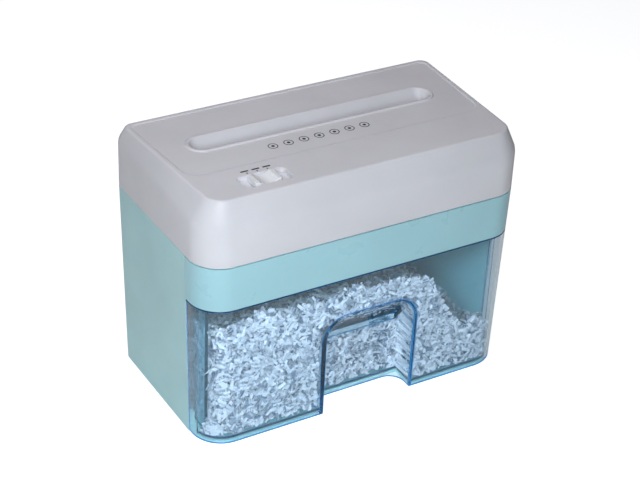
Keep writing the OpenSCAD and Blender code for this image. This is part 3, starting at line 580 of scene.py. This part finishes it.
def strips(name, centres, length, width, spread, facing, material):
    """Slightly curled paper strips at the centres, most of them facing that way."""
    n, cuts = len(centres), 4
    tumble, bend, half_thick = 0.55, 3.5, 0.07
    along = rng.normal(size=(n, 3)) * np.array(spread)
    along /= np.linalg.norm(along, axis=1)[:, None]
    across = np.cross(along, np.array(facing) + tumble * rng.normal(size=(n, 3)))
    across /= np.linalg.norm(across, axis=1)[:, None]
    up = np.cross(along, across)
    size = length * rng.uniform(0.55, 1.35, n)
    wide = width * rng.uniform(0.7, 1.15, n)
    curl = rng.normal(0, 0.4, n)
    twist = rng.normal(0, 0.25, n)
    crease = rng.normal(0, 0.22, n)
    t = np.linspace(-0.5, 0.5, cuts)
    mid = (centres[:, None] + along[:, None] * (t * size[:, None])[..., None]
        + up[:, None] * ((curl[:, None] * t ** 2 + crease[:, None] * np.abs(t)) * bend
        )[..., None])
    turn = twist[:, None] * t
    side = (across[:, None] * np.cos(turn)[..., None]
        + up[:, None] * np.sin(turn)[..., None]) * (wide[:, None] / 2)[..., None]
    thick = np.cross(along[:, None], side)
    thick *= half_thick / np.linalg.norm(thick, axis=2)[..., None]
    corners = np.stack([mid - side, mid + side], 2)
    shape = corners.shape
    corners = kept_inside(corners.reshape(-1, 3)).reshape(shape)
    loops = np.stack([corners[:, :, 0] - thick, corners[:, :, 1] - thick,
        corners[:, :, 1] + thick, corners[:, :, 0] + thick], 2)
    verts = loops.reshape(-1, 3) * MM
    base = np.arange(n)[:, None, None] * cuts * 4
    quads = []
    for c in range(cuts - 1):
        for k in range(4):
            j = (k + 1) % 4
            quads.append([c * 4 + k, c * 4 + j, c * 4 + 4 + j, c * 4 + 4 + k])
    last = (cuts - 1) * 4
    quads += [[3, 2, 1, 0], [last, last + 1, last + 2, last + 3]]
    faces = (base + np.array(quads)[None]).reshape(-1, 4)
    mesh = bpy.data.meshes.new(name)
    mesh.vertices.add(len(verts))
    mesh.vertices.foreach_set("co", verts.ravel())
    mesh.loops.add(faces.size)
    mesh.loops.foreach_set("vertex_index", faces.ravel().astype(np.int32))
    mesh.polygons.add(len(faces))
    mesh.polygons.foreach_set("loop_start", np.arange(0, faces.size, 4, dtype=np.int32))
    mesh.polygons.foreach_set("use_smooth", np.zeros(len(faces), bool))
    mesh.update(calc_edges=True)
    mesh.materials.append(material)
    piece = bpy.data.objects.new(name, mesh)
    bpy.context.scene.collection.objects.link(piece)
    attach(piece, "drawer")
    return piece


def paper(name, dark, light):
    """Uncoated paper: each strip its own white, with specks of print on some."""
    material, tree, shader = new_material(name)
    shader.inputs["Roughness"].default_value = 0.85
    shader.inputs["Specular IOR Level"].default_value = 0.2
    strip = tree.nodes.new("ShaderNodeNewGeometry")
    white = two_tone(tree, strip.outputs["Random Per Island"], dark, light, 0, 0.45)
    inked = tree.nodes.new("ShaderNodeMix")
    inked.data_type = "RGBA"
    inked.inputs["B"].default_value = (0.16, 0.19, 0.26, 1)
    remap(tree, noise(tree, 420), inked.inputs["Factor"], (0, 1), (0.66, 0.69))
    tree.links.new(white, inked.inputs["A"])
    tree.links.new(inked.outputs["Result"], shader.inputs["Base Color"])
    bump(tree, noise(tree, 1800), shader, 0.3, 0.03)
    return material


shred_paper = paper("shred_paper", (0.16, 0.22, 0.32), (0.8, 0.82, 0.9))
# The heap's top strips get a dark grey-blue paper: painted shade, for the shade under the
# apron.
top_paper_painted_shade = paper("top_paper_painted_shade", (0.1, 0.15, 0.18), (0.38, 0.44, 0.49))


def scatter(count, x_range, y_range, z_range, wanted):
    """Random points in the box that pass the test, the same ones on every run."""
    found = np.empty((0, 3))
    while len(found) < count:
        p = rng.uniform((x_range[0], y_range[0], z_range[0]),
            (x_range[1], y_range[1], z_range[1]), (4 * count, 3))
        found = np.vstack([found, p[wanted(*p.T)]])
    return found[:count]


def off_scoop(x, y, z):
    """Outside the finger scoop and its skin."""
    return (np.abs(x - scoop_x) > scoop_half) | (y > scoop_back) | (z > scoop_top(y))


def by_the_front(x, y, z):
    """In the heap, in a thin layer behind the clear front or the scoop's back wall."""
    layer = 9
    face = np.where((np.abs(x - scoop_x) < scoop_half + 2) & (z < scoop_top(y)),
        scoop_back, front_y + 4)
    return (z < heap_top(x, y)) & (y - face < layer) & off_scoop(x, y, z)


def by_the_top(x, y, z):
    """In the heap's upper layer."""
    depth, half_layer = 4, 5
    return (np.abs(heap_top(x, y) - depth - z) < half_layer) & off_scoop(x, y, z)


def by_the_sides(x, y, z):
    """In the heap, just inside the bin's side walls."""
    return (z < heap_top(x, y) - 3) & (np.abs(x) > 133)


def in_the_corner(x, y, z):
    """In the few strips that have slid into the front left corner."""
    return z < 22 + (x + 136)


heap_x, heap_z = (-137, 137), (10, 124)
front_pile = scatter(6400, heap_x, (front_y + 4, front_y + 40), heap_z, by_the_front)
strips("shreds_front", front_pile, 7.5, 2.7, (1, 0.25, 1), (0, 1, 0), shred_paper)
# These top strips are painted darker as painted shade.
top_pile = scatter(3600, heap_x, (front_y + 10, 62), (16, 124), by_the_top)
strips("shreds_top", top_pile, 10, 3, (1, 1, 0.3), (0, 0, 1), top_paper_painted_shade)
side_pile = scatter(2000, (-138, 138), (front_y + 12, 60), heap_z, by_the_sides)
strips("shreds_sides", side_pile, 9, 3, (0.2, 1, 1), (1, 0, 0), shred_paper)
spill = scatter(150, (-147, -136), (front_y + 5, front_y + 22), (10, 22), in_the_corner)
strips("shreds_corner", spill, 9, 2.6, (1, 1, 0.5), (0, 0.7, 0.7), shred_paper)

# The middle of the heap, packed too tightly to look into, as one lumpy body.
core = Skin("shreds_packed")
core_x = np.linspace(-133, 133, 60)
core_y = np.linspace(scoop_back + 7, 60, 30)
rows = [core.ring([(x, y, max(heap_top(x, y) - 8, floor_z + 1)) for x in core_x])
    for y in core_y]
core.bridge(rows, closed=False)
base = [core.ring([(x, y, floor_z + 0.5) for x in core_x]) for y in core_y]
core.bridge(base, closed=False)
core.bridge([rows[0], base[0]], closed=False)
core.bridge([rows[-1], base[-1]], closed=False)
for k in (0, -1):
    core.bridge([[r[k] for r in rows], [r[k] for r in base]], closed=False)
# Its paper is painted dark: painted shade for the depths of the heap behind the strips.
packed = core.done(paper("packed_paper_painted_shade", (0.2, 0.24, 0.3), (0.3, 0.34, 0.4)))
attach(packed, "drawer")

# ---- Cutting head ----
# Two hexagonal shafts carry hardened discs and spacers between zinc-plated plates,
# tied by four rods. Nylon and steel gears drive them from the motor.


def metal(name, colour, rough=0.3, stretch=(1, 1, 1), grain=900):
    """Metal with machining lines drawn out along one axis, and stains in its colour."""
    material, tree, shader = new_material(name)
    shader.inputs["Metallic"].default_value = 1
    place = tree.nodes.new("ShaderNodeTexCoord")
    drawn = tree.nodes.new("ShaderNodeMapping")
    drawn.inputs["Scale"].default_value = stretch
    tree.links.new(place.outputs["Object"], drawn.inputs["Vector"])
    lines = noise(tree, grain, 3, drawn.outputs[0])
    stained = [c * 0.86 for c in colour]
    tone = two_tone(tree, noise(tree, 70, 5), stained, colour, 0.3, 0.7)
    tree.links.new(tone, shader.inputs["Base Color"])
    remap(tree, lines, shader.inputs["Roughness"], (rough - 0.08, rough + 0.14))
    bump(tree, lines, shader, 0.25, 0.01)
    return material


zinc = metal("zinc_plate", (0.66, 0.67, 0.66), 0.34, (1, 0.1, 1))
shaft_steel = metal("turned_steel", (0.5, 0.5, 0.51), 0.26, (1, 0.05, 0.05))
blade_steel = metal("hardened_steel", (0.36, 0.36, 0.37), 0.36, (0.1, 1, 1))
gear_steel = metal("sintered_steel", (0.24, 0.24, 0.245), 0.45, (1, 1, 1), 2600)
bronze = metal("sintered_bronze", (0.56, 0.38, 0.2), 0.42, (1, 1, 1), 2600)
screw_steel = metal("plated_screws", (0.62, 0.6, 0.52), 0.28)
black_plastic = moulding("black_plastic", (0.03, 0.03, 0.032), rough=0.48, drift=0.15)
nylon = moulding("natural_nylon", (0.78, 0.75, 0.66), rough=0.42, drift=0.03,
    Subsurface_Weight=0.2, Subsurface_Scale=0.002)
for node in ("left_side_plate", "right_side_plate"):
    finish(node, zinc)
for node in ("cutter_shaft_a", "cutter_shaft_b", "tie_rods", "gear_axles"):
    finish(node, shaft_steel)
for node in ("cutter_discs_a", "cutter_discs_b"):
    finish(node, blade_steel)
for node in ("timing_gear_a", "timing_gear_b", "final_gear"):
    finish(node, gear_steel)
for node in ("second_gear", "first_gear"):
    finish(node, nylon)
finish("shaft_bushes", bronze)
for node in ("tie_rod_nuts", "shaft_clips_a", "shaft_clip_b"):
    finish(node, screw_steel)
for node in ("disc_spacers_a", "disc_spacers_b", "front_stripper", "rear_stripper",
        "gear_cover", "feed_guide", "motor_fan"):
    finish(node, black_plastic)

# ---- Tray ----
# A pale grey moulding that carries the cutting head and closes the cover from below.
# Shreds fall through its long chute into the bin.
tray_grey = moulding("tray_grey", (0.42, 0.43, 0.44), rough=0.46, drift=0.05)
finish("head_tray", tray_grey, 0.3)

# ---- Motor ----
# A brushed mains motor: a zinc-plated can with its stator inside, a wound rotor on a
# steel shaft, a brass pinion in front and a fan behind.
can_steel = metal("motor_can_steel", (0.55, 0.55, 0.54), 0.3, (0.1, 1, 1))
winding = metal("wound_copper", (0.62, 0.3, 0.16), 0.4, (1, 0.2, 0.2), 1600)
finish("motor_can", can_steel)
finish("motor_stator", winding)
finish("motor_rotor", can_steel)
finish("motor_pinion", bronze)
finish("motor_screws", screw_steel)

# ---- Electrics ----
# A small green board with its relay, capacitor and terminals, the paper sensor, the
# mode switch, the door switch with its red plunger, and the inlet with brass pins.
board = moulding("solder_mask", (0.02, 0.16, 0.06), rough=0.3, grain=600, depth=0.03,
    drift=0.2)
finish("control_board", board)
finish("drive_relay", moulding("relay_case", (0.03, 0.1, 0.4)), 0.4)
finish("filter_capacitor", moulding("capacitor_case", (0.75, 0.5, 0.05)),
    0.6)
finish("terminal_block", moulding("terminal_case", (0.06, 0.38, 0.12)),
    0.2)
finish("interlock_plunger", moulding("plunger_red", (0.6, 0.03, 0.03)))
for node in ("mode_switch", "sensor_emitter", "sensor_receiver", "interlock_switch"):
    finish(node, black_plastic)
finish("power_inlet", black_plastic, 0.3)
finish("inlet_pins", bronze)

# ---- Screws ----
# Self-tapping steel screws with pan heads, zinc plated. They hold the cover, the tray,
# the side plates and the base to bosses moulded in the casing.
for node in ("cover_screws", "tray_screws", "plate_screws", "base_screws"):
    finish(node, screw_steel)
